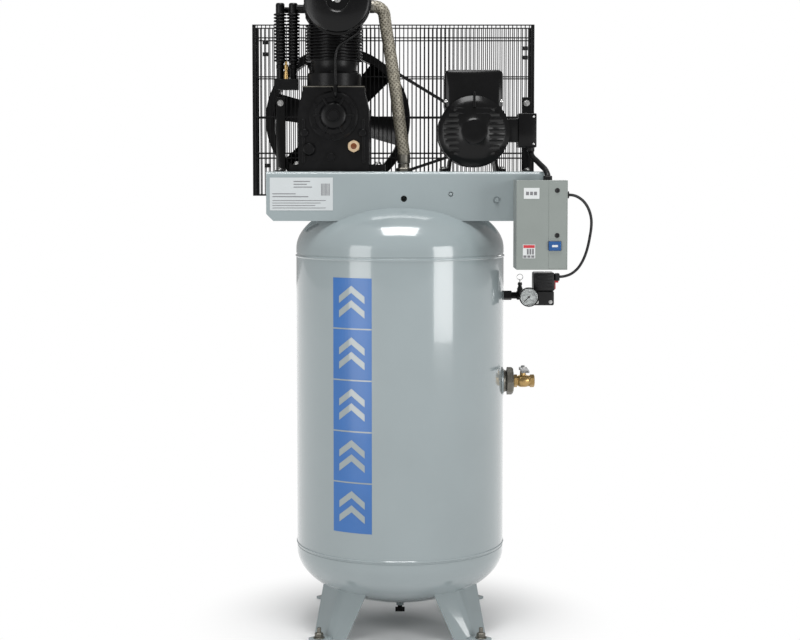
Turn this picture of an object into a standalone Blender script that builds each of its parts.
"""Vertical two-stage air compressor: an upright 80 gallon tank on four bent-plate legs, a platform with
the belt-driven pump and its motor, a wire belt guard, and the switchgear, gauge and valves on the tank.

Metres, +Z up. The origin is on the floor under the tank's axis, +X is the motor's side and -Y is the
front, where the starter and the gauge face. Each object is one physical piece.
"""

from math import atan2, cos, pi, radians, sin, sqrt

import bmesh
import bpy
from mathutils import Matrix, Vector

# ---- driving dimensions -------------------------------------------------------------------------

CLEAR = 0.0003  # gap between pieces that touch
RUN_CLEAR = 0.0010  # gap between a turning piece and what it runs in

TANK_R = 0.305
TANK_WALL = 0.005
TANK_SEAM_LOW = 0.246  # the lower head's weld
TANK_SEAM_HIGH = 1.085  # the upper head's weld
HEAD_FLANGE = 0.025  # straight part of a head
HEAD_RISE = TANK_R / 2  # 2:1 elliptical head

LEG_PLATE = 0.006
LEG_FOOT_R = TANK_R - 0.008  # the bend's distance from the tank's axis at the floor
LEG_SLOPE = 0.40  # how far the bend leans in for each metre up
LEG_WING_LOW = 0.064
LEG_WING_SLOPE = 0.20
LEG_BEND = radians(12.7)  # how far each wing folds back
LEG_TOP = 0.20
FOOT_TAB = (0.052, 0.046, 0.008)
FOOT_HOLE_R = 0.007

PLATFORM_LEFT, PLATFORM_RIGHT = -0.379, 0.409
PLATFORM_HALF_DEPTH = 0.185
PLATFORM_TOP = TANK_SEAM_HIGH + HEAD_RISE + 0.0965
PLATFORM_HEIGHT = 0.140
PLATFORM_SHEET = 0.005
PLATFORM_BEND = 0.010  # outer radius of the bends
PLATFORM_CHAMFER = 0.020
FLANGE_HOLES = ((0.011, -0.077, 0.009), (0.144, -0.064, 0.007), (0.274, -0.081, 0.011))

CRANK_X = -0.190
CRANK_Z = PLATFORM_TOP + 0.159
CRANK_THROW = 0.025
CRANK_JOURNAL_R = 0.018
CRANK_PIN_R = 0.014
CASE_HALF_WIDTH = 0.101
CASE_TOP_HALF_WIDTH = 0.088
CASE_HALF_DEPTH = 0.130
CASE_TOP = CRANK_Z + 0.085
CASE_WALL = 0.013
CASE_FOOT_HALF = 0.137
CASE_FOOT_THICK = 0.020
BEARING_COVER_R = 0.070
BEARING_SPIGOT_R = 0.0555
BEARING_COVER_THICK = 0.015
GLASS_SHIFT, GLASS_DROP = 0.058, 0.087  # sight glass from the crank
PLUG_SHIFT, PLUG_DROP = -0.007, 0.117

CYLINDER_TOP = CASE_TOP + 0.1865
CYLINDER_FLANGE = 0.038
FIRST_Y, FIRST_BORE, FIRST_BARREL, FIRST_FIN = -0.077, 0.054, 0.062, 0.082
SECOND_Y, SECOND_BORE, SECOND_BARREL, SECOND_FIN = 0.073, 0.0415, 0.055, 0.066
CAD_FINS = 3
FIN_LOW, FIN_HIGH = CYLINDER_TOP - 0.1145, CYLINDER_TOP - 0.0145
PISTON_CROWN = 0.008
PISTON_LENGTH = 0.036
PISTON_DOWN = 0.0125  # crown below the top of the cylinder
PISTON_SKIRT = 0.004
WRIST_DROP = 0.024  # wrist pin centre below the piston's crown
ROD_EYE_R = 0.010
ROD_HALF_WIDTH = 0.010
HEAD_LEFT, HEAD_RIGHT = CRANK_X - 0.078, CRANK_X + 0.078
HEAD_FRONT, HEAD_REAR = FIRST_Y - 0.075, SECOND_Y + 0.073
HEAD_TOP = CYLINDER_TOP + 0.1005

FILTER_X, FILTER_Z, FILTER_R = CRANK_X + 0.016, CYLINDER_TOP + 0.0475, 0.0945
FILTER_FRONT, FILTER_BACK = HEAD_FRONT - 0.088, HEAD_FRONT - 0.010

FLYWHEEL_R = 0.221
FLYWHEEL_FRONT, FLYWHEEL_BACK = 0.205, 0.265
FLYWHEEL_RIM = 0.025
FLYWHEEL_HUB_R = 0.046
SPOKE_COUNT = 6
SPOKE_WIDTH = 0.070
SPOKE_THICK = 0.010
SPOKE_TILT = radians(22)
BELT_WIDTH = 0.013
BELT_THICK = 0.009
BELT_SINK = 0.0005  # the belt's back below the pulleys' rims
GROOVE_SIDE = 0.0015  # room on each side of the belt in its groove
PULLEY_R = 0.0505
SHEAVE_FRONT, SHEAVE_BACK = 0.213, 0.257

MOTOR_X, MOTOR_Z = 0.2125, PLATFORM_TOP + 0.1143
MOTOR_R, MOTOR_WALL = 0.102, 0.008
MOTOR_FRONT, MOTOR_BACK = -0.130, 0.150
MOTOR_BELL = 0.030
MOTOR_SHAFT_R = 0.0115
MOTOR_FOOT_HALF = 0.095
CAP_BOX_HALF, CAP_BOX_TOP = 0.084, MOTOR_Z + MOTOR_R + 0.076
CAP_BOX_FRONT, CAP_BOX_BACK = -0.095, 0.060
JUNCTION_LEFT, JUNCTION_RIGHT = MOTOR_X + MOTOR_R + 0.0305, MOTOR_X + MOTOR_R + 0.0825
JUNCTION_LOW, JUNCTION_HIGH = MOTOR_Z - 0.0443, MOTOR_Z + 0.0547
JUNCTION_HALF_DEPTH = 0.045

GUARD_LEFT, GUARD_RIGHT = CRANK_X - FLYWHEEL_R - 0.039, MOTOR_X + 0.197
GUARD_LOW, GUARD_HIGH = PLATFORM_TOP - 0.074, PLATFORM_TOP + 0.446
GUARD_FRONT, GUARD_BACK = 0.192, 0.308
GUARD_WIRE = 0.003
GUARD_CHANNEL = 0.012
GUARD_COLUMNS, GUARD_ROWS = 7, 3
GUARD_BAR = 0.005
SHAFT_WINDOW_R = 0.034
POST_WIDTH, POST_TOP, POST_PLATE = 0.028, PLATFORM_TOP + 0.226, 0.004
LEFT_POST_X, RIGHT_POST_X = PLATFORM_LEFT + 0.0145, PLATFORM_RIGHT - 0.023

STARTER_LEFT, STARTER_RIGHT = TANK_R + 0.016, TANK_R + 0.157
STARTER_LOW, STARTER_HIGH = PLATFORM_TOP - 0.271, PLATFORM_TOP - 0.024
STARTER_FRONT = -PLATFORM_HALF_DEPTH - 0.125
STARTER_SHEET = 0.002
STARTER_LID = 0.030
CONDUIT_X, CONDUIT_Y = STARTER_LEFT + 0.091, STARTER_FRONT + 0.062
BUTTON_X, BUTTON_Z = STARTER_RIGHT - 0.035, STARTER_LOW + 0.066
BUTTON_SIZE = (0.034, 0.025)
BUTTON_PROUD = 0.006
BUTTON_TRAVEL = 0.003

PORT_Z = TANK_SEAM_HIGH - 0.116  # the manifold's port in the tank
OUTLET_Z = TANK_SEAM_HIGH - 0.370
OUTLET_BUSHING_END = TANK_R + 0.031
VALVE_END = TANK_R + 0.093
VALVE_X = TANK_R + 0.059
GAUGE_X, GAUGE_R, GAUGE_FRONT, GAUGE_BACK = TANK_R + 0.0705, 0.0285, -0.074, -0.046
MANIFOLD_HALF = 0.0125
MANIFOLD_END = TANK_R + 0.0865
SWITCH_RIGHT, SWITCH_LOW, SWITCH_HIGH = TANK_R + 0.149, PORT_Z - 0.0275, PORT_Z + 0.069
SWITCH_SPLIT = PORT_Z + 0.015
SWITCH_HALF_DEPTH = 0.036
CABLE_R = 0.004
CABLE_STEPS = (  # the control cable from the starter's gland, bowing out to the right
    (0.0000, 0.0000, 0.0000),
    (0.0074, 0.0003, -0.0005),
    (0.0214, 0.0030, -0.0044),
    (0.0382, 0.0106, -0.0150),
    (0.0521, 0.0227, -0.0308),
    (0.0626, 0.0388, -0.0504),
    (0.0692, 0.0587, -0.0725),
    (0.0715, 0.0820, -0.0960),
    (0.0710, 0.1068, -0.1203),
    (0.0691, 0.1324, -0.1468),
    (0.0647, 0.1574, -0.1735),
    (0.0569, 0.1802, -0.1983),
    (0.0450, 0.1992, -0.2194),
    (0.0279, 0.2128, -0.2348),
    (0.0079, 0.2192, -0.2420),
    (-0.0040, 0.2200, -0.2430),
)
CABLE_GAP = 0.0006  # between the cable's ends and its glands

ROUND = 28  # sides of a large turned piece
MEDIUM = 16
SMALL = 12

# ---- scene, collections and materials -----------------------------------------------------------

for old in list(bpy.data.objects):
    bpy.data.objects.remove(old)

PARTS = bpy.data.collections.new("air_compressor")
CUTTERS = bpy.data.collections.new("cutters")
for collection in (PARTS, CUTTERS):
    bpy.context.scene.collection.children.link(collection)


def material(name, colour, metallic, roughness):
    made = bpy.data.materials.new(name)
    made.use_nodes = True
    shader = made.node_tree.nodes["Principled BSDF"]
    shader.inputs["Base Color"].default_value = (*colour, 1)
    shader.inputs["Metallic"].default_value = metallic
    shader.inputs["Roughness"].default_value = roughness
    made.diffuse_color = (*colour, 1)
    return made


GREY_PAINT = material("grey_paint", (0.36, 0.40, 0.41), 0.0, 0.18)
BLACK_PAINT = material("black_paint", (0.010, 0.010, 0.011), 0.0, 0.30)
CAST_IRON = material("cast_iron_paint", (0.014, 0.014, 0.015), 0.1, 0.45)
GUARD_BLACK = material("guard_black", (0.012, 0.012, 0.012), 0.0, 0.40)
RUBBER = material("rubber", (0.015, 0.015, 0.015), 0.0, 0.75)
BRASS = material("brass", (0.60, 0.42, 0.16), 1.0, 0.28)
STEEL = material("steel", (0.55, 0.55, 0.56), 1.0, 0.30)
ALUMINIUM = material("aluminium", (0.66, 0.66, 0.67), 1.0, 0.40)
BRAID = material("braided_hose", (0.40, 0.38, 0.33), 0.3, 0.55)
ENCLOSURE = material("enclosure_grey", (0.30, 0.34, 0.32), 0.0, 0.40)
PLASTIC = material("black_plastic", (0.012, 0.012, 0.013), 0.0, 0.45)
BUTTON_BLUE = material("button_blue", (0.02, 0.09, 0.42), 0.0, 0.35)
LEVER_RED = material("lever_red", (0.55, 0.02, 0.02), 0.0, 0.40)
DIAL_WHITE = material("gauge_case", (0.85, 0.85, 0.83), 0.0, 0.35)
COPPER = material("winding_copper", (0.60, 0.25, 0.12), 1.0, 0.40)


# ---- shapes -------------------------------------------------------------------------------------


def add(name, mesh, look, collection=PARTS):
    made = bpy.data.objects.new(name, mesh)
    collection.objects.link(made)
    if look:
        mesh.materials.append(look)
    return made


def from_bmesh(name, shape, look):
    mesh = bpy.data.meshes.new(name)
    bmesh.ops.recalc_face_normals(shape, faces=shape.faces)
    shape.to_mesh(mesh)
    shape.free()
    return add(name, mesh, look)


def box(name, low, high, look=None):
    """A block between two opposite corners."""
    shape = bmesh.new()
    bmesh.ops.create_cube(shape, size=1)
    size = [b - a for a, b in zip(low, high)]
    middle = [(a + b) / 2 for a, b in zip(low, high)]
    bmesh.ops.scale(shape, vec=size, verts=shape.verts)
    bmesh.ops.translate(shape, vec=middle, verts=shape.verts)
    return from_bmesh(name, shape, look)


def bar(name, start, end, radius, look=None, sides=MEDIUM, end_radius=None):
    """A round bar, a cone or, with 6 sides, a hexagon between two points."""
    start, end = Vector(start), Vector(end)
    along = end - start
    shape = bmesh.new()
    bmesh.ops.create_cone(
        shape,
        cap_ends=True,
        segments=sides,
        radius1=radius,
        radius2=radius if end_radius is None else end_radius,
        depth=along.length,
        matrix=Matrix.Translation((start + end) / 2) @ along.to_track_quat("Z", "X").to_matrix().to_4x4(),
    )
    made = from_bmesh(name, shape, look)
    if sides > 8:
        smooth(made)
    return made


def smooth(made):
    made.data.shade_smooth()
    made.data.set_sharp_from_angle(angle=radians(35))


def turned(name, profile, look=None, sides=ROUND, place=(0, 0, 0), aim=(0, 0, 1), ring=False):
    """Turns (radius, height) points about the aim; they run down the outside, and back up inside a ring."""
    mesh = bpy.data.meshes.new(name)
    edges = [(i, i + 1) for i in range(len(profile) - 1)]
    if ring:
        edges.append((len(profile) - 1, 0))
    mesh.from_pydata([(r, 0, h) for r, h in profile], edges, [])
    made = add(name, mesh, look)
    made.matrix_world = Matrix.Translation(place) @ Vector(aim).to_track_quat("Z", "X").to_matrix().to_4x4()
    screw = made.modifiers.new("turn", "SCREW")
    screw.steps = screw.render_steps = sides
    screw.use_merge_vertices = True
    screw.merge_threshold = 0.00001
    baked(made)
    smooth(made)
    return made


def baked(made):
    """Replaces the object's mesh by what its modifiers make, in world coordinates."""
    bpy.context.view_layer.update()
    graph = bpy.context.evaluated_depsgraph_get()
    mesh = bpy.data.meshes.new_from_object(made.evaluated_get(graph), depsgraph=graph)
    mesh.transform(made.matrix_world)
    made.modifiers.clear()
    made.matrix_world = Matrix.Identity(4)
    made.data = mesh
    return made


def from_curve(name, curve, matrix, look):
    """Makes one welded mesh object of a curve."""
    guide = bpy.data.objects.new(name + "_curve", curve)
    CUTTERS.objects.link(guide)
    guide.matrix_world = matrix
    bpy.context.view_layer.update()
    graph = bpy.context.evaluated_depsgraph_get()
    mesh = bpy.data.meshes.new_from_object(guide.evaluated_get(graph), depsgraph=graph)
    mesh.transform(matrix)
    bpy.data.objects.remove(guide)
    mesh.materials.clear()
    shape = bmesh.new()
    shape.from_mesh(mesh)
    bmesh.ops.remove_doubles(shape, verts=shape.verts, dist=0.00001)
    return from_bmesh(name, shape, look)


def plate(name, loops, start, thickness, look=None, across="Y"):
    """Extrudes flat loops of points: (x, z) along Y from start, (x, y) along Z, or (y, z) along X."""
    curve = bpy.data.curves.new(name, "CURVE")
    curve.dimensions = "2D"
    curve.fill_mode = "BOTH"
    curve.extrude = thickness / 2
    for loop in loops:
        spline = curve.splines.new("POLY")
        spline.points.add(len(loop) - 1)
        spline.use_cyclic_u = True
        for point, (u, v) in zip(spline.points, loop):
            point.co = (u, v, 0, 1)
    middle = start + thickness / 2
    if across == "Y":
        matrix = Matrix.Translation((0, middle, 0)) @ Matrix.Rotation(pi / 2, 4, "X")
    elif across == "X":
        matrix = Matrix.Translation((middle, 0, 0)) @ Matrix(
            ((0, 0, 1, 0), (1, 0, 0, 0), (0, 1, 0, 0), (0, 0, 0, 1))
        )
    else:
        matrix = Matrix.Translation((0, 0, middle))
    return from_curve(name, curve, matrix, look)


def solid_sheet(name, shape, thickness, look):
    """Thickens an open surface to the side away from its normals."""
    mesh = bpy.data.meshes.new(name)
    shape.to_mesh(mesh)
    shape.free()
    made = add(name, mesh, look)
    shell = made.modifiers.new("sheet", "SOLIDIFY")
    shell.thickness = thickness
    shell.use_even_offset = True
    return baked(made)


def bent_sheet(name, line, left, right, thickness, look=None):
    """A sheet bent along a line of (y, z) points, from left to right along X; its skin is inside the line."""
    shape = bmesh.new()
    rows = [[shape.verts.new((x, y, z)) for y, z in line] for x in (left, right)]
    for i in range(len(line) - 1):
        shape.faces.new((rows[0][i], rows[1][i], rows[1][i + 1], rows[0][i + 1]))
    return solid_sheet(name, shape, thickness, look)


def tube(name, points, radius, look=None, resolution=2):
    """A round tube along points, with filled ends."""
    curve = bpy.data.curves.new(name, "CURVE")
    curve.dimensions = "3D"
    curve.bevel_depth = radius
    curve.bevel_resolution = resolution
    curve.use_fill_caps = True
    spline = curve.splines.new("POLY")
    spline.points.add(len(points) - 1)
    for point, place in zip(spline.points, points):
        point.co = (*place, 1)
    made = from_curve(name, curve, Matrix.Identity(4), look)
    smooth(made)
    return made


def cut(made, *cutters):
    """Takes the cutters away from a piece."""
    for cutter in cutters:
        for collection in list(cutter.users_collection):
            collection.objects.unlink(cutter)
        CUTTERS.objects.link(cutter)
        cutter.hide_render = True
        cutter.display_type = "WIRE"
        boolean = made.modifiers.new("cut", "BOOLEAN")
        boolean.operation = "DIFFERENCE"
        boolean.object = cutter
    return made


def join(made, *others):
    """Unites pieces into one closed body."""
    for other in others:
        boolean = made.modifiers.new("join", "BOOLEAN")
        boolean.operation = "UNION"
        boolean.object = other
    baked(made)
    for other in others:
        bpy.data.objects.remove(other)
    return made


def pivot(made, place):
    """Puts a moving piece's origin on its joint's axis."""
    baked(made)
    made.data.transform(Matrix.Translation(-Vector(place)))
    made.location = place
    return made


def arc(centre, radius, start, end, steps):
    """Points along an arc, angles in radians."""
    turn = [start + (end - start) * i / steps for i in range(steps + 1)]
    return [(centre[0] + radius * cos(a), centre[1] + radius * sin(a)) for a in turn]


def smooth_route(points, spacing):
    """Points along a Catmull-Rom curve through a route, about one spacing apart."""
    places = [Vector(p) for p in points]
    padded = [2 * places[0] - places[1], *places, 2 * places[-1] - places[-2]]
    made = []
    for a, b, c, d in zip(padded, padded[1:], padded[2:], padded[3:]):
        steps = max(1, round((c - b).length / spacing))
        for i in range(steps):
            t = i / steps
            made.append(
                0.5 * (
                    2 * b + (c - a) * t + (2 * a - 5 * b + 4 * c - d) * t * t + (3 * b - a - 3 * c + d) * t**3
                )
            )
    made.append(places[-1])
    return made


# ---- tank and legs ------------------------------------------------------------------------------


def tank_form(name, outset, look=None):
    """The tank's outer surface, grown by outset, as a solid."""
    radius, rise = TANK_R + outset, HEAD_RISE + outset
    top = TANK_SEAM_HIGH + HEAD_FLANGE
    low = TANK_SEAM_LOW - HEAD_FLANGE
    steps = 5
    angles = [pi / 2 * i / steps for i in range(steps + 1)]
    dome = [(radius * sin(a), top + rise * cos(a)) for a in angles]
    dish = [(radius * cos(a), low - rise * sin(a)) for a in angles]
    dome[0] = (0, dome[0][1])
    dish[-1] = (0, dish[-1][1])
    return turned(name, dome + dish, look)


def dome_height(x, y):
    """Height of the tank's upper head above a place."""
    return TANK_SEAM_HIGH + HEAD_FLANGE + HEAD_RISE * sqrt(1 - (x * x + y * y) / TANK_R**2)


INLET_X = 0.011
DRAIN_R, INLET_R, PORT_R, OUTLET_R = 0.0090, 0.0125, 0.0130, 0.0250


def make_tank():
    tank = tank_form("tank", 0, GREY_PAINT)
    bottom = TANK_SEAM_LOW - HEAD_FLANGE - HEAD_RISE
    cut(
        tank,
        tank_form("tank_inside", -TANK_WALL),
        bar("port_hole", (TANK_R - 0.03, 0, PORT_Z), (TANK_R + 0.02, 0, PORT_Z), PORT_R + CLEAR),
        bar("outlet_hole", (TANK_R - 0.03, 0, OUTLET_Z), (TANK_R + 0.02, 0, OUTLET_Z), OUTLET_R + CLEAR),
        bar(
            "inlet_hole",
            (INLET_X, 0, dome_height(INLET_X, 0) - 0.03),
            (INLET_X, 0, PLATFORM_TOP),
            INLET_R + CLEAR,
        ),
        bar("drain_hole", (0, 0, bottom - 0.02), (0, 0, bottom + 0.02), DRAIN_R + CLEAR),
    )


def make_leg(name, turn):
    """A shallow V of bent plate under the tank, with a foot tab to bolt down."""
    shape = bmesh.new()
    rows = []
    for z in (0.0, LEG_TOP):
        bend = LEG_FOOT_R - LEG_SLOPE * z
        wing = LEG_WING_LOW + LEG_WING_SLOPE * z
        back, side = bend - wing * sin(LEG_BEND), wing * cos(LEG_BEND)
        rows.append([shape.verts.new(p) for p in ((back, -side, z), (bend, 0, z), (back, side, z))])
    for i in range(2):
        shape.faces.new((rows[0][i], rows[0][i + 1], rows[1][i + 1], rows[1][i]))
    leg = from_bmesh(name, shape, GREY_PAINT)
    shell = leg.modifiers.new("plate", "SOLIDIFY")
    shell.thickness = LEG_PLATE
    shell.offset = 0
    shell.use_even_offset = True
    length, width, thick = FOOT_TAB
    inner = LEG_FOOT_R - LEG_PLATE / 2
    tab = box("tab", (inner, -width / 2, 0), (inner + length, width / 2, thick))
    join(leg, tab)
    leg.matrix_world = Matrix.Rotation(turn, 4, "Z")
    baked(leg)
    hole_at = (inner + length * 0.62) * Vector((cos(turn), sin(turn), 0))
    cut(
        leg,
        tank_form(name + "_scribe", CLEAR),
        box(name + "_floor", (-1, -1, -0.1), (1, 1, 0)),
        bar(
            name + "_bolt_hole",
            hole_at - Vector((0, 0, 0.02)),
            hole_at + Vector((0, 0, 0.03)),
            FOOT_HOLE_R,
            sides=SMALL,
        ),
    )


def make_drain():
    bottom = TANK_SEAM_LOW - HEAD_FLANGE - HEAD_RISE
    body = bar(
        "drain_valve_body", (0, 0, bottom - 0.026), (0, 0, bottom - CLEAR - 0.001), 0.0125, BRASS, sides=6
    )
    cut(
        join(body, bar("thread", (0, 0, bottom - 0.010), (0, 0, bottom + 0.008), DRAIN_R, sides=SMALL)),
        bar("drain_bore", (0, 0, bottom - 0.030), (0, 0, bottom + 0.020), 0.003, sides=8),
    )
    top = bottom - 0.026 - RUN_CLEAR
    knob = bar("drain_valve_knob", (0, 0, top - 0.012), (0, 0, top), 0.007, BRASS, sides=SMALL)
    wings = box("wings", (-0.014, -0.0022, top - 0.020), (0.014, 0.0022, top - 0.006))
    pivot(join(knob, wings), (0, 0, top))


# ---- platform -----------------------------------------------------------------------------------


def make_platform():
    """A sheet bent down at the front and rear, whose flanges are cut to the tank's upper head."""
    depth, sheet, bend = PLATFORM_HALF_DEPTH, PLATFORM_SHEET, PLATFORM_BEND
    low = PLATFORM_TOP - PLATFORM_HEIGHT
    under = PLATFORM_TOP - sheet
    line = [
        (-depth, low),
        *arc((-depth + bend, PLATFORM_TOP - bend), bend, pi, pi / 2, 3),
        *arc((depth - bend, PLATFORM_TOP - bend), bend, pi / 2, 0, 3),
        (depth, low),
    ]
    platform = bent_sheet("platform", line, PLATFORM_LEFT, PLATFORM_RIGHT, sheet, GREY_PAINT)
    corners = []
    for side, x in ((-1, PLATFORM_LEFT), (1, PLATFORM_RIGHT)):
        triangle = [(x + side * 0.01, low - 0.01), (x - side * PLATFORM_CHAMFER, low - 0.01)]
        triangle += [
            (x - side * PLATFORM_CHAMFER, low),
            (x, low + PLATFORM_CHAMFER),
            (x + side * 0.01, low + PLATFORM_CHAMFER),
        ]
        corners.append(plate("chamfer", [triangle], -depth - 0.01, 2 * depth + 0.02))
    holes = [
        bar(
            "flange_hole",
            (x, -depth - 0.01, PLATFORM_TOP + z),
            (x, -depth + 0.02, PLATFORM_TOP + z),
            r,
            sides=SMALL,
        )
        for x, z, r in FLANGE_HOLES
    ]
    inlet = bar("hose_hole", (INLET_X, 0, under - 0.01), (INLET_X, 0, PLATFORM_TOP + 0.01), 0.026)
    cut(platform, tank_form("dome_scribe", CLEAR), inlet, *corners, *holes)


# ---- pump ---------------------------------------------------------------------------------------


def make_crankcase():
    half, top_half, depth = CASE_HALF_WIDTH, CASE_TOP_HALF_WIDTH, CASE_HALF_DEPTH
    base = PLATFORM_TOP + CLEAR
    outline = [
        (CRANK_X - half, base),
        (CRANK_X + half, base),
        (CRANK_X + half, CRANK_Z + 0.015),
        (CRANK_X + top_half, CASE_TOP - 0.012),
        (CRANK_X + top_half, CASE_TOP),
        (CRANK_X - top_half, CASE_TOP),
        (CRANK_X - top_half, CASE_TOP - 0.012),
        (CRANK_X - half, CRANK_Z + 0.015),
    ]
    case = plate("crankcase", [outline], -depth, 2 * depth, CAST_IRON)
    foot_x = CRANK_X + 0.010
    foot = box(
        "foot",
        (foot_x - CASE_FOOT_HALF, -depth + 0.010, base),
        (foot_x + CASE_FOOT_HALF, depth - 0.010, base + CASE_FOOT_THICK),
    )
    join(case, foot)
    inside = [
        (x + (CASE_WALL if x < CRANK_X else -CASE_WALL), z + (CASE_WALL if z < CRANK_Z else -CASE_WALL / 2))
        for x, z in outline
    ]
    cut(
        case,
        plate("case_room", [inside], -depth + CASE_WALL, 2 * (depth - CASE_WALL)),
        bar(
            "first_mouth",
            (CRANK_X, FIRST_Y, CASE_TOP - 0.03),
            (CRANK_X, FIRST_Y, CASE_TOP + 0.02),
            FIRST_BORE,
            sides=MEDIUM,
        ),
        bar(
            "second_mouth",
            (CRANK_X, SECOND_Y, CASE_TOP - 0.03),
            (CRANK_X, SECOND_Y, CASE_TOP + 0.02),
            SECOND_BORE,
            sides=MEDIUM,
        ),
        bar(
            "cover_hole",
            (CRANK_X, -depth - 0.01, CRANK_Z),
            (CRANK_X, -depth + 0.03, CRANK_Z),
            BEARING_SPIGOT_R + CLEAR,
        ),
        bar(
            "rear_bearing",
            (CRANK_X, depth - 0.03, CRANK_Z),
            (CRANK_X, depth + 0.01, CRANK_Z),
            CRANK_JOURNAL_R + RUN_CLEAR,
        ),
    )


def make_bearing_cover():
    """Round front cover: its height runs towards the front, and a blind bore in its back takes the crank."""
    thick, back = BEARING_COVER_THICK, -CASE_WALL
    bore = CRANK_JOURNAL_R + RUN_CLEAR
    profile = [
        (0, thick + 0.016),
        (0.018, thick + 0.016),
        (0.018, thick + 0.008),
        (0.036, thick + 0.008),
        (0.038, thick),
        (BEARING_COVER_R - 0.003, thick),
        (BEARING_COVER_R, thick - 0.003),
        (BEARING_COVER_R, 0),
        (BEARING_SPIGOT_R, 0),
        (BEARING_SPIGOT_R, back),
        (bore, back),
        (bore, -0.003),
        (0, -0.003),
    ]
    place = (CRANK_X, -CASE_HALF_DEPTH - CLEAR, CRANK_Z)
    turned("crankcase_cover", profile, CAST_IRON, MEDIUM, place, (0, -1, 0))


def make_case_fittings():
    front = -CASE_HALF_DEPTH - CLEAR
    x, z = CRANK_X + GLASS_SHIFT, CRANK_Z - GLASS_DROP
    glass = bar("sight_glass", (x, front, z), (x, front - 0.012, z), 0.0185, BRASS, sides=6)
    join(glass, bar("ring", (x, front - 0.005, z), (x, front - 0.015, z), 0.0145))
    x, z = CRANK_X + PLUG_SHIFT, CRANK_Z - PLUG_DROP
    plug = bar("oil_drain_plug", (x, front, z), (x, front - 0.012, z), 0.0115, STEEL, sides=6)
    join(plug, bar("collar", (x, front, z), (x, front - 0.003, z), 0.0130))


def filter_form(name, outset, look=None):
    depth = FILTER_BACK - FILTER_FRONT + outset
    radius = FILTER_R + outset
    profile = [
        (0, depth + 0.004),
        (0.010, depth + 0.004),
        (0.010, depth - 0.004),
        (0.032, depth - 0.004),
        (0.037, depth),
        (radius - 0.006, depth),
        (radius, depth - 0.006),
        (radius, 0.006 - outset),
        (radius - 0.006, -outset),
        (0, -outset),
    ]
    return turned(name, profile, look, 24, (FILTER_X, FILTER_BACK, FILTER_Z), (0, -1, 0))


def make_filter():
    canister = filter_form("filter_canister", 0, BLACK_PAINT)
    neck = bar(
        "neck", (FILTER_X, FILTER_BACK - 0.010, FILTER_Z), (FILTER_X, HEAD_FRONT - CLEAR, FILTER_Z), 0.024
    )
    join(canister, neck)


def make_breather():
    cover_front = -CASE_HALF_DEPTH - CLEAR - BEARING_COVER_THICK
    x = CRANK_X + 0.008
    forward = min(cover_front - 0.026, FIRST_Y - FIRST_FIN - 0.015)
    reach = FILTER_R / sqrt(2)
    route = [
        (x, cover_front - CLEAR, CRANK_Z + 0.052),
        (x, cover_front - 0.012, CRANK_Z + 0.052),
        (x, forward, CRANK_Z + 0.064),
        (x, forward, CRANK_Z + 0.100),
        (x, forward, CRANK_Z + 0.165),
        (x + 0.012, forward - 0.004, FILTER_Z - FILTER_R - 0.029),
        (x + 0.036, forward - 0.010, FILTER_Z - FILTER_R - 0.013),
        (FILTER_X + reach - 0.012, FILTER_BACK - 0.030, FILTER_Z - reach - 0.022),
        (FILTER_X + reach - 0.002, FILTER_BACK - 0.034, FILTER_Z - reach - 0.006),
        (FILTER_X + reach - 0.006, FILTER_BACK - 0.034, FILTER_Z - reach + 0.012),
    ]
    breather = tube("breather_tube", smooth_route(route, 0.012), 0.0043, BLACK_PAINT, 1)
    cut(breather, filter_form("breather_end", CLEAR))


def make_cylinder(name, y, bore, barrel, fin, flange):
    """An upright finned cylinder, open at both ends."""
    low = CASE_TOP + CLEAR
    pitch = (FIN_HIGH - FIN_LOW) / CAD_FINS
    profile = [(barrel + 0.006, CYLINDER_TOP), (barrel + 0.006, FIN_HIGH + 0.006), (barrel, FIN_HIGH + 0.004)]
    for i in range(CAD_FINS):
        top = FIN_HIGH - i * pitch
        profile += [
            (barrel, top), (fin, top - 0.001), (fin, top - pitch * 0.4), (barrel, top - pitch * 0.4 - 0.001)
        ]
    profile += [(barrel, low + CYLINDER_FLANGE), (flange, low + CYLINDER_FLANGE - 0.003), (flange, low)]
    profile += [(bore, low), (bore, CYLINDER_TOP)]
    return turned(name, profile, CAST_IRON, MEDIUM, (CRANK_X, y, 0), ring=True)


def wrist_height():
    return CYLINDER_TOP - PISTON_DOWN - WRIST_DROP


def make_piston(name, y, bore):
    """An open-skirted piston at the top of its stroke."""
    top = CYLINDER_TOP - PISTON_DOWN
    radius = bore - 0.0008
    profile = [
        (0, top),
        (radius, top),
        (radius, top - PISTON_LENGTH),
        (radius - PISTON_SKIRT, top - PISTON_LENGTH),
        (radius - PISTON_SKIRT, top - PISTON_CROWN),
        (0, top - PISTON_CROWN),
    ]
    turned(name, profile, ALUMINIUM, MEDIUM, (CRANK_X, y, 0))


def make_rod(name, y):
    """Connecting rod, upright, with its big end on the crank pin and a wrist pin in its small end."""
    low, high = CRANK_Z + CRANK_THROW, wrist_height()
    front, back = y - ROD_HALF_WIDTH, y + ROD_HALF_WIDTH
    rod = bar(name, (CRANK_X, front, low), (CRANK_X, back, low), 0.0245, ALUMINIUM)
    shank = box("shank", (CRANK_X - 0.007, y - 0.006, low + 0.017), (CRANK_X + 0.007, y + 0.006, high))
    eye = bar("eye", (CRANK_X, front, high), (CRANK_X, back, high), ROD_EYE_R, sides=SMALL)
    join(rod, shank, eye)
    pin_room = bar(
        "pin_room", (CRANK_X, front - 0.01, low), (CRANK_X, back + 0.01, low), CRANK_PIN_R + RUN_CLEAR
    )
    cut(rod, pin_room)
    pivot(rod, (CRANK_X, y, low))


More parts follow.
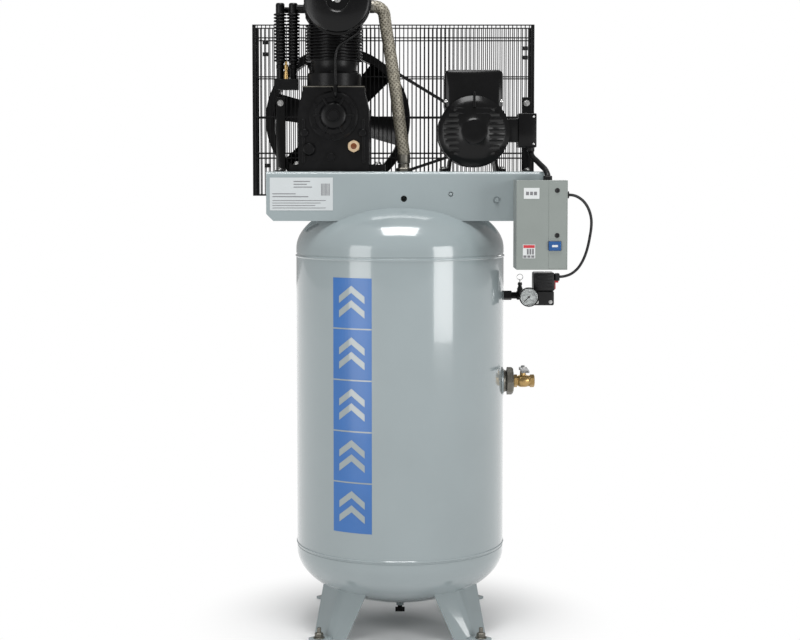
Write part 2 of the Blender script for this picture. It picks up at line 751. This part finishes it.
def make_crankshaft():
    """Three journals, two throws in line and four webs with their counterweights below."""
    pin_z = CRANK_Z + CRANK_THROW
    web, room = 0.012, ROD_HALF_WIDTH + RUN_CLEAR
    front = -CASE_HALF_DEPTH - CLEAR + 0.004
    pieces = []
    for y in (FIRST_Y, SECOND_Y):
        pieces.append(
            bar(
                "pin",
                (CRANK_X, y - room - web / 2, pin_z),
                (CRANK_X, y + room + web / 2, pin_z),
                CRANK_PIN_R,
                sides=16,
            )
        )
        for low in (y - room - web, y + room):
            pieces.append(
                box(
                    "web",
                    (CRANK_X - 0.020, low, CRANK_Z - 0.048),
                    (CRANK_X + 0.020, low + web, pin_z + 0.017),
                )
            )
    reach = room + web / 2
    shaft = bar(
        "crankshaft",
        (CRANK_X, SECOND_Y + reach, CRANK_Z),
        (CRANK_X, FLYWHEEL_BACK + 0.012, CRANK_Z),
        CRANK_JOURNAL_R,
        STEEL,
    )
    pieces.append(
        bar(
            "middle",
            (CRANK_X, FIRST_Y + reach, CRANK_Z),
            (CRANK_X, SECOND_Y - reach, CRANK_Z),
            CRANK_JOURNAL_R,
        )
    )
    pieces.append(
        bar("nose", (CRANK_X, front, CRANK_Z), (CRANK_X, FIRST_Y - reach, CRANK_Z), CRANK_JOURNAL_R)
    )
    pivot(join(shaft, *pieces), (CRANK_X, 0, CRANK_Z))


def make_head():
    """Cylinder head over both cylinders, with cooling slots across its top."""
    low = CYLINDER_TOP + CLEAR
    head = box("cylinder_head", (HEAD_LEFT, HEAD_FRONT, low), (HEAD_RIGHT, HEAD_REAR, HEAD_TOP), CAST_IRON)
    slots = 5
    pitch = (HEAD_RIGHT - HEAD_LEFT) / (slots + 1)
    for i in range(slots):
        x = HEAD_LEFT + (i + 1) * pitch
        cut(
            head,
            box(
                "head_slot",
                (x - 0.006, HEAD_FRONT + 0.03, HEAD_TOP - 0.022),
                (x + 0.006, HEAD_REAR + 0.01, HEAD_TOP + 0.01),
            ),
        )


def make_intercooler():
    """Two finned tubes between a header and the head, and the header's relief valve."""
    left_x, right_x, y = HEAD_LEFT - 0.080, HEAD_LEFT - 0.042, -0.030
    low, top = CYLINDER_TOP - 0.1935, CYLINDER_TOP + 0.0435
    cooler = box(
        "intercooler", (left_x - 0.014, y - 0.036, low), (right_x + 0.014, y + 0.015, low + 0.030), ALUMINIUM
    )
    fins, fin_low, fin_high = 3, low + 0.089, top - 0.018
    pitch = (fin_high - fin_low) / fins
    pieces = []
    for x in (left_x, right_x):
        profile = [(0, top + 0.014), (0.013, top + 0.014), (0.013, fin_high + 0.001)]
        for i in range(fins):
            z = fin_high - i * pitch
            profile += [
                (0.011, z),
                (0.0185, z - 0.0005),
                (0.0185, z - pitch * 0.45),
                (0.011, z - pitch * 0.45 - 0.0005),
            ]
        profile += [(0.011, low + 0.015), (0, low + 0.015)]
        pieces.append(turned("finned_tube", profile, None, SMALL, (x, y, 0)))
    end = HEAD_LEFT - CLEAR
    pieces.append(bar("near_pipe", (right_x, y, top), (end, y, top), 0.0105, sides=SMALL))
    far = [
        (left_x, y, top), (left_x, y + 0.045, top), (left_x + 0.018, y + 0.068, top), (end, y + 0.070, top)
    ]
    pieces.append(tube("far_pipe", smooth_route(far, 0.02), 0.0095, None, 1))
    join(cooler, *pieces)
    valve_x, valve_y, base = (left_x + right_x) / 2, y - 0.0275, low + 0.030 + CLEAR
    valve = turned(
        "interstage_relief_valve",
        [
            (0, 0.050),
            (0.003, 0.050),
            (0.003, 0.040),
            (0.006, 0.038),
            (0.006, 0.014),
            (0.0075, 0.013),
            (0.0075, 0),
            (0, 0),
        ],
        BRASS,
        SMALL,
        (valve_x, valve_y, base),
    )
    return valve


def make_discharge():
    """Elbow on the head, the braided hose and the check valve on top of the tank."""
    z, turn_r, start_x = CYLINDER_TOP + 0.0505, 0.030, HEAD_RIGHT + 0.019
    elbow = bar(
        "discharge_elbow", (HEAD_RIGHT + CLEAR, 0, z), (start_x - CLEAR, 0, z), 0.0235, BRASS, sides=6
    )
    join(elbow, bar("nose", (HEAD_RIGHT + 0.004, 0, z), (start_x - CLEAR, 0, z), 0.0170, end_radius=0.0190))
    end_z = PLATFORM_TOP + 0.024
    bend = arc((start_x + 0.018, z - turn_r), turn_r, pi / 2, 0, 4)
    route = [(start_x, 0, z), *[(x, 0, bend_z) for x, bend_z in bend]]
    foot = Vector((INLET_X, 0, end_z))
    shoulder = Vector((bend[-1][0] + 0.004, 0, bend[-1][1] - 0.030))
    sway = Vector((0.004, 0, 0))
    for share in (0, 0.25, 0.5, 0.72):
        route.append(tuple(shoulder.lerp(foot, share) + sway * sin(pi * share)))
    route += [tuple(foot + Vector((0, 0, 0.030))), tuple(foot)]
    tube("discharge_hose", smooth_route(route, 0.022), 0.0185, BRAID, 3)
    seat = dome_height(INLET_X, 0)
    profile = [
        (0, end_z - CLEAR),
        (0.0175, end_z - CLEAR),
        (0.0175, end_z - 0.012),
        (0.0225, end_z - 0.013),
        (0.0225, end_z - 0.034),
        (0.0160, end_z - 0.035),
        (0.0160, seat + 0.035),
        (0.0215, seat + 0.034),
        (0.0215, seat + 0.001),
        (INLET_R, seat + 0.001),
        (INLET_R, seat - 0.012),
        (0, seat - 0.012),
    ]
    turned("tank_inlet_fitting", profile, BRASS, SMALL, (INLET_X, 0, 0))


# ---- flywheel, belt and pulley ------------------------------------------------------------------

BELT_Y = (FLYWHEEL_FRONT + FLYWHEEL_BACK) / 2
GROOVE_HALF = BELT_WIDTH / 2 + GROOVE_SIDE
GROOVE_DEPTH = BELT_SINK + BELT_THICK + RUN_CLEAR


def rim_profile(radius, front, back, inner):
    """A grooved rim as a ring, its heights measured from the belt's middle towards the rear."""
    floor = radius - GROOVE_DEPTH
    return [
        (radius, back - BELT_Y),
        (radius, GROOVE_HALF + 0.001),
        (floor, GROOVE_HALF),
        (floor, -GROOVE_HALF),
        (radius, -GROOVE_HALF - 0.001),
        (radius, front - BELT_Y),
        (inner, front - BELT_Y),
        (inner, back - BELT_Y),
    ]


def make_flywheel():
    profile = rim_profile(FLYWHEEL_R, FLYWHEEL_FRONT, FLYWHEEL_BACK, FLYWHEEL_R - FLYWHEEL_RIM)
    place = (CRANK_X, BELT_Y, CRANK_Z)
    wheel = turned("flywheel", profile, CAST_IRON, 40, place, (0, 1, 0), ring=True)
    hub = bar(
        "hub",
        (CRANK_X, FLYWHEEL_FRONT + 0.004, CRANK_Z),
        (CRANK_X, FLYWHEEL_BACK - 0.004, CRANK_Z),
        FLYWHEEL_HUB_R,
    )
    spokes = []
    start, end = FLYWHEEL_HUB_R - 0.012, FLYWHEEL_R - FLYWHEEL_RIM / 2 - 0.004
    for i in range(SPOKE_COUNT):
        spoke = box(
            "spoke", (start, -SPOKE_THICK / 2, -SPOKE_WIDTH / 2), (end, SPOKE_THICK / 2, SPOKE_WIDTH / 2)
        )
        angle = radians(-12) + 2 * pi * i / SPOKE_COUNT
        spoke.matrix_world = (
            Matrix.Translation(place) @ Matrix.Rotation(-angle, 4, "Y") @ Matrix.Rotation(SPOKE_TILT, 4, "X")
        )
        spokes.append(baked(spoke))
    join(wheel, hub, *spokes)
    bore = bar(
        "hub_bore",
        (CRANK_X, FLYWHEEL_FRONT - 0.01, CRANK_Z),
        (CRANK_X, FLYWHEEL_BACK + 0.01, CRANK_Z),
        CRANK_JOURNAL_R + CLEAR,
    )
    cut(wheel, bore)
    pivot(wheel, place)


def loop_around(outset):
    """The outline of a band round the flywheel and the pulley, at outset from the groove floors."""
    big = FLYWHEEL_R - GROOVE_DEPTH + outset
    little = PULLEY_R - GROOVE_DEPTH + outset
    dx, dz = MOTOR_X - CRANK_X, MOTOR_Z - CRANK_Z
    lean = atan2(dz, dx)
    spread = atan2(sqrt(dx * dx + dz * dz - (big - little) ** 2), big - little)
    around_big = arc((CRANK_X, CRANK_Z), big, lean + spread, lean + 2 * pi - spread, 30)
    around_little = arc((MOTOR_X, MOTOR_Z), little, lean - spread, lean + spread, 14)
    return around_big + around_little


def make_belt():
    loops = [loop_around(RUN_CLEAR + BELT_THICK), loop_around(RUN_CLEAR)]
    plate("drive_belt", loops, BELT_Y - BELT_WIDTH / 2, BELT_WIDTH, RUBBER)


def make_pulley():
    profile = rim_profile(PULLEY_R, SHEAVE_FRONT, SHEAVE_BACK, MOTOR_SHAFT_R + CLEAR)
    place = (MOTOR_X, BELT_Y, MOTOR_Z)
    pivot(turned("motor_pulley", profile, CAST_IRON, 20, place, (0, 1, 0), ring=True), place)


# ---- motor --------------------------------------------------------------------------------------


def make_motor():
    inner, shaft_room = MOTOR_R - MOTOR_WALL, MOTOR_SHAFT_R + RUN_CLEAR
    split = MOTOR_FRONT + MOTOR_BELL
    back_wall = MOTOR_BACK - 0.010
    profile = [
        (shaft_room, MOTOR_BACK),
        (0.045, MOTOR_BACK),
        (0.050, MOTOR_BACK - 0.008),
        (MOTOR_R - 0.012, MOTOR_BACK - 0.016),
        (MOTOR_R, MOTOR_BACK - 0.028),
        (MOTOR_R, split + CLEAR),
        (inner, split + CLEAR),
        (inner, back_wall - 0.018),
        (shaft_room, back_wall - 0.006),
    ]
    frame = turned("motor_frame", profile, BLACK_PAINT, ROUND, (MOTOR_X, 0, MOTOR_Z), (0, 1, 0), ring=True)
    base = PLATFORM_TOP + CLEAR
    feet = [
        box(
            "feet",
            (MOTOR_X - MOTOR_FOOT_HALF, -0.075, base),
            (MOTOR_X + MOTOR_FOOT_HALF, 0.105, base + 0.010),
        )
    ]
    near, far = MOTOR_FOOT_HALF * 0.52, MOTOR_FOOT_HALF * 0.74
    rest = MOTOR_Z - sqrt((MOTOR_R - MOTOR_WALL / 2) ** 2 - near**2)
    for side in (-1, 1):
        edges = sorted((MOTOR_X + side * near, MOTOR_X + side * far))
        feet.append(box("web", (edges[0], -0.070, base + 0.004), (edges[1], 0.100, rest)))
    join(frame, *feet)
    bell = [
        (shaft_room, MOTOR_BELL),
        (0.042, MOTOR_BELL),
        (0.047, MOTOR_BELL - 0.007),
        (MOTOR_R - 0.014, MOTOR_BELL - 0.010),
        (MOTOR_R + 0.001, MOTOR_BELL - 0.021),
        (MOTOR_R + 0.001, 0),
        (inner, 0),
        (inner - 0.004, MOTOR_BELL - 0.020),
        (shaft_room, MOTOR_BELL - 0.012),
    ]
    turned("motor_front_bell", bell, BLACK_PAINT, ROUND, (MOTOR_X, split, MOTOR_Z), (0, -1, 0), ring=True)
    stator_outer, stator_bore = inner - CLEAR, MOTOR_R * 0.6
    stack_front, stack_back = split + 0.030, MOTOR_BACK - 0.070
    ring = [
        (stator_outer, stack_back),
        (stator_outer, stack_front),
        (stator_bore, stack_front),
        (stator_bore, stack_back),
    ]
    turned("motor_stator", ring, COPPER, ROUND, (MOTOR_X, 0, MOTOR_Z), (0, 1, 0), ring=True)
    rotor = bar(
        "motor_rotor",
        (MOTOR_X, stack_front, MOTOR_Z),
        (MOTOR_X, stack_back, MOTOR_Z),
        stator_bore - 0.004,
        STEEL,
    )
    shaft = bar(
        "shaft", (
            MOTOR_X, MOTOR_FRONT + 0.004, MOTOR_Z
        ), (MOTOR_X, SHEAVE_BACK + 0.006, MOTOR_Z), MOTOR_SHAFT_R, sides=16
    )
    pivot(join(rotor, shaft), (MOTOR_X, 0, MOTOR_Z))


def make_motor_boxes():
    half = CAP_BOX_HALF
    capacitor = box(
        "capacitor_box",
        (MOTOR_X - half, CAP_BOX_FRONT, MOTOR_Z + MOTOR_R * 0.62),
        (MOTOR_X + half, CAP_BOX_BACK, CAP_BOX_TOP),
        BLACK_PAINT,
    )
    soften = capacitor.modifiers.new("edges", "BEVEL")
    soften.width = 0.012
    soften.segments = 2
    soften.limit_method = "ANGLE"
    cut(
        baked(capacitor),
        bar(
            "saddle", (MOTOR_X, -0.2, MOTOR_Z), (MOTOR_X, 0.2, MOTOR_Z), MOTOR_R + CLEAR + 0.001, sides=ROUND
        ),
    )
    neck_start = MOTOR_X + MOTOR_R + CLEAR
    junction = box(
        "junction_box",
        (JUNCTION_LEFT, -JUNCTION_HALF_DEPTH, JUNCTION_LOW),
        (JUNCTION_RIGHT, JUNCTION_HALF_DEPTH, JUNCTION_HIGH),
        BLACK_PAINT,
    )
    middle = (JUNCTION_LOW + JUNCTION_HIGH) / 2
    join(
        junction,
        box("neck", (neck_start, -0.034, middle - 0.034), (JUNCTION_LEFT + 0.004, 0.034, middle + 0.034)),
    )


def make_conduit():
    """Flexible conduit from the junction box over the platform's edge into the top of the starter."""
    start = Vector((JUNCTION_RIGHT - 0.015, -0.020, JUNCTION_LOW - CLEAR))
    end = Vector((CONDUIT_X, CONDUIT_Y, STARTER_HIGH + CLEAR))
    down, up = Vector((0, 0, -0.012)), Vector((0, 0, 0.022))
    slope = [(start + down * 1.7).lerp(end + up, share) for share in (0.12, 0.35, 0.6, 0.85)]
    route = [tuple(p) for p in (start, start + down, *slope, end + up * 0.6, end)]
    tube("motor_conduit", smooth_route(route, 0.020), 0.0080, PLASTIC, 2)


# ---- belt guard ---------------------------------------------------------------------------------


def guard_panel(name, y):
    """A flat panel of wire mesh, drawn as a coarse lattice with its front at y."""
    wide = (GUARD_RIGHT - GUARD_LEFT - GUARD_BAR) / GUARD_COLUMNS
    tall = (GUARD_HIGH - GUARD_LOW - GUARD_BAR) / GUARD_ROWS
    across = [GUARD_LEFT + i * wide + edge for i in range(GUARD_COLUMNS + 1) for edge in (0, GUARD_BAR)]
    up = [GUARD_LOW + j * tall + edge for j in range(GUARD_ROWS + 1) for edge in (0, GUARD_BAR)]
    shape = bmesh.new()
    points = [[shape.verts.new((x, y, z)) for z in up] for x in across]
    for i in range(len(across) - 1):
        for j in range(len(up) - 1):
            if i % 2 == 0 or j % 2 == 0:
                shape.faces.new((points[i][j], points[i + 1][j], points[i + 1][j + 1], points[i][j + 1]))
    return solid_sheet(name, shape, GUARD_WIRE, GUARD_BLACK)


def make_guard():
    front = guard_panel("guard_front_panel", GUARD_FRONT)
    windows = [
        bar(
            "shaft_window",
            (x, GUARD_FRONT - 0.01, z),
            (x, GUARD_FRONT + 0.01, z),
            SHAFT_WINDOW_R,
        )
        for x, z in ((CRANK_X, CRANK_Z), (MOTOR_X, MOTOR_Z))
    ]
    cut(front, *windows)
    back = guard_panel("guard_rear_cover", GUARD_BACK - GUARD_WIRE)
    start = GUARD_FRONT + GUARD_WIRE + CLEAR
    sides = []
    for left, right in ((GUARD_LEFT, GUARD_LEFT + 0.002), (GUARD_RIGHT - 0.002, GUARD_RIGHT)):
        sides.append(box("side", (left, start, GUARD_LOW), (right, GUARD_BACK - 0.001, GUARD_HIGH)))
    for left, right in ((GUARD_LEFT, GUARD_LEFT + GUARD_CHANNEL), (GUARD_RIGHT - GUARD_CHANNEL, GUARD_RIGHT)):
        sides.append(box("lip", (left, start, GUARD_LOW), (right, start + 0.002, GUARD_HIGH)))
    join(back, *sides)
    for name, x in (("guard_left_post", LEFT_POST_X), ("guard_right_post", RIGHT_POST_X)):
        make_post(name, x)


def make_post(name, x):
    """An angle that stands on the platform and holds the guard's front panel."""
    half, base = POST_WIDTH / 2, PLATFORM_TOP + CLEAR
    rear = GUARD_FRONT - CLEAR
    outline = [
        (rear - 0.040, base),
        (rear, base),
        (rear, POST_TOP),
        (rear - POST_PLATE, POST_TOP),
        (rear - POST_PLATE, base + POST_PLATE),
        (rear - 0.040, base + POST_PLATE),
    ]
    plate(name, [outline], x - half, POST_WIDTH, BLACK_PAINT, "X")


# ---- starter ------------------------------------------------------------------------------------


def make_starter():
    back = -PLATFORM_HALF_DEPTH - CLEAR
    split = STARTER_FRONT + STARTER_LID
    sheet = STARTER_SHEET
    case = box(
        "starter_box",
        (STARTER_LEFT, split + CLEAR, STARTER_LOW),
        (STARTER_RIGHT, back, STARTER_HIGH),
        ENCLOSURE,
    )
    room = box(
        "starter_room",
        (STARTER_LEFT + sheet, split - 0.01, STARTER_LOW + sheet),
        (STARTER_RIGHT - sheet, back - sheet, STARTER_HIGH - sheet),
    )
    cut(case, room)
    lid = box(
        "starter_cover",
        (STARTER_LEFT, STARTER_FRONT, STARTER_LOW),
        (STARTER_RIGHT, split, STARTER_HIGH),
        ENCLOSURE,
    )
    hollow = box(
        "lid_room",
        (STARTER_LEFT + sheet, STARTER_FRONT + sheet, STARTER_LOW + sheet),
        (STARTER_RIGHT - sheet, split + 0.01, STARTER_HIGH - sheet),
    )
    half_x, half_z = BUTTON_SIZE[0] / 2, BUTTON_SIZE[1] / 2
    slot = box(
        "button_hole",
        (BUTTON_X - half_x - 0.0005, STARTER_FRONT - 0.01, BUTTON_Z - half_z - 0.0005),
        (BUTTON_X + half_x + 0.0005, STARTER_FRONT + 0.01, BUTTON_Z + half_z + 0.0005),
    )
    cut(lid, hollow, slot)
    stem_end = STARTER_FRONT + sheet + BUTTON_TRAVEL + 0.006
    button = box(
        "reset_button",
        (BUTTON_X - half_x, STARTER_FRONT - BUTTON_PROUD, BUTTON_Z - half_z),
        (BUTTON_X + half_x, stem_end, BUTTON_Z + half_z),
        BUTTON_BLUE,
    )
    collar = box(
        "collar",
        (BUTTON_X - half_x - 0.003, STARTER_FRONT + sheet + CLEAR, BUTTON_Z - half_z - 0.003),
        (BUTTON_X + half_x + 0.003, stem_end, BUTTON_Z + half_z + 0.003),
    )
    join(button, collar)
    pivot(button, (BUTTON_X, STARTER_FRONT, BUTTON_Z))
    middle = (STARTER_LEFT + STARTER_RIGHT) / 2
    box(
        "contactor",
        (middle - 0.040, back - sheet - CLEAR - 0.075, STARTER_LOW + 0.080),
        (middle + 0.040, back - sheet - CLEAR, STARTER_HIGH - 0.050),
        PLASTIC,
    )


# ---- tank fittings ------------------------------------------------------------------------------


def make_outlet():
    """Reducing bushing and a quarter-turn ball valve whose lever points to the front when shut."""
    bushing = bar(
        "outlet_bushing",
        (TANK_R + CLEAR, 0, OUTLET_Z),
        (OUTLET_BUSHING_END, 0, OUTLET_Z),
        0.041,
        STEEL,
        sides=6,
    )
    join(bushing, bar("thread", (TANK_R - 0.012, 0, OUTLET_Z), (TANK_R + 0.01, 0, OUTLET_Z), OUTLET_R))
    start = OUTLET_BUSHING_END + CLEAR
    bore_start, bore_end = (TANK_R - 0.045, 0, OUTLET_Z), (TANK_R + 0.055, 0, OUTLET_Z)
    cut(bushing, bar("bushing_bore", bore_start, bore_end, 0.009, sides=SMALL))
    ball_r, stem_r = 0.0125, 0.0040
    length, ball_at, bore = VALVE_END - start, VALVE_X - start, 0.0085
    room, room_half = ball_r + 0.0015, ball_r + RUN_CLEAR
    profile = [
        (0.0175, length),
        (0.0190, length - 0.002),
        (0.0190, length - 0.015),
        (0.0185, ball_at + 0.013),
        (0.0185, ball_at - 0.013),
        (0.0165, ball_at - 0.016),
        (0.0165, 0),
        (bore, 0),
        (bore, ball_at - room_half),
        (room, ball_at - room_half),
        (room, ball_at + room_half),
        (bore, ball_at + room_half),
        (bore, length),
    ]
    body = turned("ball_valve_body", profile, BRASS, SMALL, (start, 0, OUTLET_Z), (1, 0, 0), ring=True)
    join(body, bar("neck", (VALVE_X, 0, OUTLET_Z + room + 0.002), (VALVE_X, 0, OUTLET_Z + 0.030), 0.0090))
    cut(
        body,
        bar(
            "stem_room",
            (VALVE_X, 0, OUTLET_Z + 0.008),
            (VALVE_X, 0, OUTLET_Z + 0.04),
            stem_r + RUN_CLEAR,
            sides=SMALL,
        ),
    )
    axis = (VALVE_X, 0, OUTLET_Z)
    ball = turned(
        "ball_valve_ball",
        [
            (0, ball_r),
            *[(ball_r * sin(pi * i / 6), ball_r * cos(pi * i / 6)) for i in range(1, 6)],
            (0, -ball_r),
        ],
        STEEL,
        SMALL,
        axis,
    )
    join(
        ball,
        bar("stem", (VALVE_X, 0, OUTLET_Z + 0.008), (VALVE_X, 0, OUTLET_Z + 0.0315), stem_r, sides=SMALL),
    )
    cut(ball, bar("ball_port", (VALVE_X, -0.03, OUTLET_Z), (VALVE_X, 0.03, OUTLET_Z), 0.0075, sides=SMALL))
    pivot(ball, axis)
    low = OUTLET_Z + 0.0325
    handle = box(
        "ball_valve_handle",
        (VALVE_X - 0.0105, -0.100, low + 0.004),
        (VALVE_X + 0.0105, -0.014, low + 0.008),
        STEEL,
    )
    hub = bar("hub", (VALVE_X, 0, low), (VALVE_X, 0, low + 0.008), 0.0125)
    ramp = box("ramp", (VALVE_X - 0.0085, -0.030, low + 0.003), (VALVE_X + 0.0085, 0.000, low + 0.007))
    join(handle, hub, ramp)
    pivot(handle, (VALVE_X, 0, low))


def make_manifold():
    """Nipple and cross that carry the gauge, the relief valve and the pressure switch."""
    manifold = bar(
        "manifold", (TANK_R + CLEAR, 0, PORT_Z), (TANK_R + 0.025, 0, PORT_Z), 0.0140, BRASS, sides=6
    )
    half = MANIFOLD_HALF
    pieces = [
        bar("thread", (TANK_R - 0.012, 0, PORT_Z), (TANK_R + 0.01, 0, PORT_Z), PORT_R),
        bar("pipe", (TANK_R + 0.020, 0, PORT_Z), (TANK_R + 0.045, 0, PORT_Z), 0.0105),
        box("cross", (TANK_R + 0.038, -half, PORT_Z - half), (MANIFOLD_END, half, PORT_Z + half)),
    ]
    join(manifold, *pieces)
    valve_x, top = TANK_R + 0.049, PORT_Z + half + CLEAR
    valve_top = top + 0.026
    profile = [
        (0, valve_top),
        (0.0065, valve_top),
        (0.0065, top + 0.010),
        (0.0085, top + 0.009),
        (0.0085, top),
        (0, top),
    ]
    turned("tank_relief_valve", profile, BRASS, SMALL, (valve_x, 0, 0))
    stem_top = valve_top + RUN_CLEAR + 0.006
    stem = bar(
        "relief_pull_ring",
        (valve_x, 0, valve_top + RUN_CLEAR),
        (valve_x, 0, stem_top + 0.002),
        0.0022,
        STEEL,
        sides=8,
    )
    loop = [
        (
            valve_x + 0.0085 * sin(a), 0, stem_top + 0.0085 - 0.0085 * cos(a)
        ) for a in [2 * pi * i / 16 for i in range(16)]
    ]
    join(stem, ring_of_wire("loop", loop, 0.0011))
    pivot(stem, (valve_x, 0, valve_top))


def ring_of_wire(name, points, radius):
    """A closed round wire."""
    curve = bpy.data.curves.new(name, "CURVE")
    curve.dimensions = "3D"
    curve.bevel_depth = radius
    curve.bevel_resolution = 1
    spline = curve.splines.new("POLY")
    spline.use_cyclic_u = True
    spline.points.add(len(points) - 1)
    for point, place in zip(spline.points, points):
        point.co = (*place, 1)
    return from_curve(name, curve, Matrix.Identity(4), None)


def make_gauge():
    """Gauge case with its stem into the manifold, and the pointer in front of the dial."""
    depth = GAUGE_BACK - GAUGE_FRONT
    stem_end = GAUGE_BACK + MANIFOLD_HALF + CLEAR
    profile = [
        (GAUGE_R - 0.002, depth),
        (GAUGE_R, depth - 0.002),
        (GAUGE_R, 0.003),
        (GAUGE_R - 0.003, 0),
        (0.006, 0),
        (0.006, stem_end),
        (0, stem_end),
    ]
    inner = [(0, depth - 0.009), (GAUGE_R - 0.003, depth - 0.009), (GAUGE_R - 0.003, depth)]
    place = (GAUGE_X, GAUGE_BACK, PORT_Z)
    turned("gauge_case", inner + profile, DIAL_WHITE, MEDIUM, place, (0, -1, 0))
    dial = GAUGE_FRONT + 0.009
    needle = bar(
        "gauge_needle",
        (GAUGE_X, dial - 0.0005, PORT_Z),
        (GAUGE_X, dial - 0.0040, PORT_Z),
        0.0030,
        PLASTIC,
        sides=SMALL,
    )
    pointer = box("pointer", (-0.0008, -0.0006, -0.006), (0.0008, 0.0006, 0.0185))
    pointer.matrix_world = Matrix.Translation(
        (GAUGE_X, dial - 0.0025, PORT_Z)
    ) @ Matrix.Rotation(radians(-135), 4, "Y")
    join(needle, baked(pointer))
    pivot(needle, (GAUGE_X, dial, PORT_Z))


def make_pressure_switch():
    left = MANIFOLD_END + CLEAR
    depth = SWITCH_HALF_DEPTH
    base = box(
        "pressure_switch_base",
        (left, -depth + 0.003, SWITCH_LOW),
        (SWITCH_RIGHT - 0.002, depth - 0.003, SWITCH_SPLIT),
        PLASTIC,
    )
    cover = box(
        "pressure_switch_cover",
        (left, -depth, SWITCH_SPLIT + CLEAR),
        (SWITCH_RIGHT, depth, SWITCH_HIGH),
        PLASTIC,
    )
    soften = cover.modifiers.new("edges", "BEVEL")
    soften.width = 0.005
    soften.segments = 2
    baked(cover)
    soften = base.modifiers.new("edges", "BEVEL")
    soften.width = 0.003
    soften.segments = 1
    baked(base)
    face = SWITCH_RIGHT + RUN_CLEAR
    hinge_z, lever_y = SWITCH_SPLIT + 0.008, 0.010
    lever = bar(
        "switch_lever",
        (face, lever_y, hinge_z),
        (face + 0.005, lever_y, hinge_z),
        0.0060,
        LEVER_RED,
        sides=SMALL,
    )
    arm = box(
        "arm", (face + 0.001, lever_y - 0.004, hinge_z), (face + 0.005, lever_y + 0.004, hinge_z + 0.020)
    )
    grip = box(
        "grip",
        (face + 0.001, lever_y - 0.005, hinge_z + 0.014),
        (face + 0.013, lever_y + 0.005, hinge_z + 0.021),
    )
    join(lever, arm, grip)
    pivot(lever, (face, lever_y, hinge_z))


def make_cable():
    """The control cable between the starter and the pressure switch, and its two glands."""
    start = Vector((STARTER_RIGHT + 0.010, STARTER_FRONT + 0.060, STARTER_HIGH - 0.041))
    end = Vector((SWITCH_RIGHT + 0.014, -0.030, PORT_Z + 0.057))
    stretch, last = end - start - Vector(CABLE_STEPS[-1]), len(CABLE_STEPS) - 1
    shares = [(i / last) ** 2 * (3 - 2 * i / last) for i in range(last + 1)]
    route = [tuple(start + Vector(step) + stretch * share) for step, share in zip(CABLE_STEPS, shares)]
    root = (STARTER_RIGHT + CLEAR, start.y, start.z)
    gland = bar(
        "starter_cable_gland", root, (start.x - CABLE_GAP, start.y, start.z), 0.0100, PLASTIC, sides=8
    )
    join(gland, bar("nut", root, (STARTER_RIGHT + 0.005, start.y, start.z), 0.0120, sides=6))
    socket = box(
        "switch_cable_gland",
        (SWITCH_RIGHT + CLEAR, end[1] - 0.0115, end[2] - 0.0120),
        (end[0] - CABLE_GAP, end[1] + 0.0115, end[2] + 0.0105),
        PLASTIC,
    )
    soften = socket.modifiers.new("edges", "BEVEL")
    soften.width = 0.002
    soften.segments = 1
    baked(socket)
    tube("control_cable", smooth_route(route, 0.016), CABLE_R, RUBBER, 2)


# ---- assembly -----------------------------------------------------------------------------------

make_tank()
for leg_name, leg_turn in (
    ("leg_front_left", 225), ("leg_front_right", 315), ("leg_rear_right", 45), ("leg_rear_left", 135)
):
    make_leg(leg_name, radians(leg_turn))
make_drain()
make_platform()
make_crankcase()
make_bearing_cover()
make_case_fittings()
make_filter()
make_breather()
make_cylinder("cylinder_first", FIRST_Y, FIRST_BORE, FIRST_BARREL, FIRST_FIN, FIRST_FIN - 0.004)
make_cylinder("cylinder_second", SECOND_Y, SECOND_BORE, SECOND_BARREL, SECOND_FIN, SECOND_FIN - 0.002)
make_piston("piston_first", FIRST_Y, FIRST_BORE)
make_piston("piston_second", SECOND_Y, SECOND_BORE)
make_rod("rod_first", FIRST_Y)
make_rod("rod_second", SECOND_Y)
make_crankshaft()
make_head()
make_intercooler()
make_discharge()
make_flywheel()
make_belt()
make_pulley()
make_motor()
make_motor_boxes()
make_conduit()
make_guard()
make_starter()
make_outlet()
make_manifold()
make_gauge()
make_pressure_switch()
make_cable()
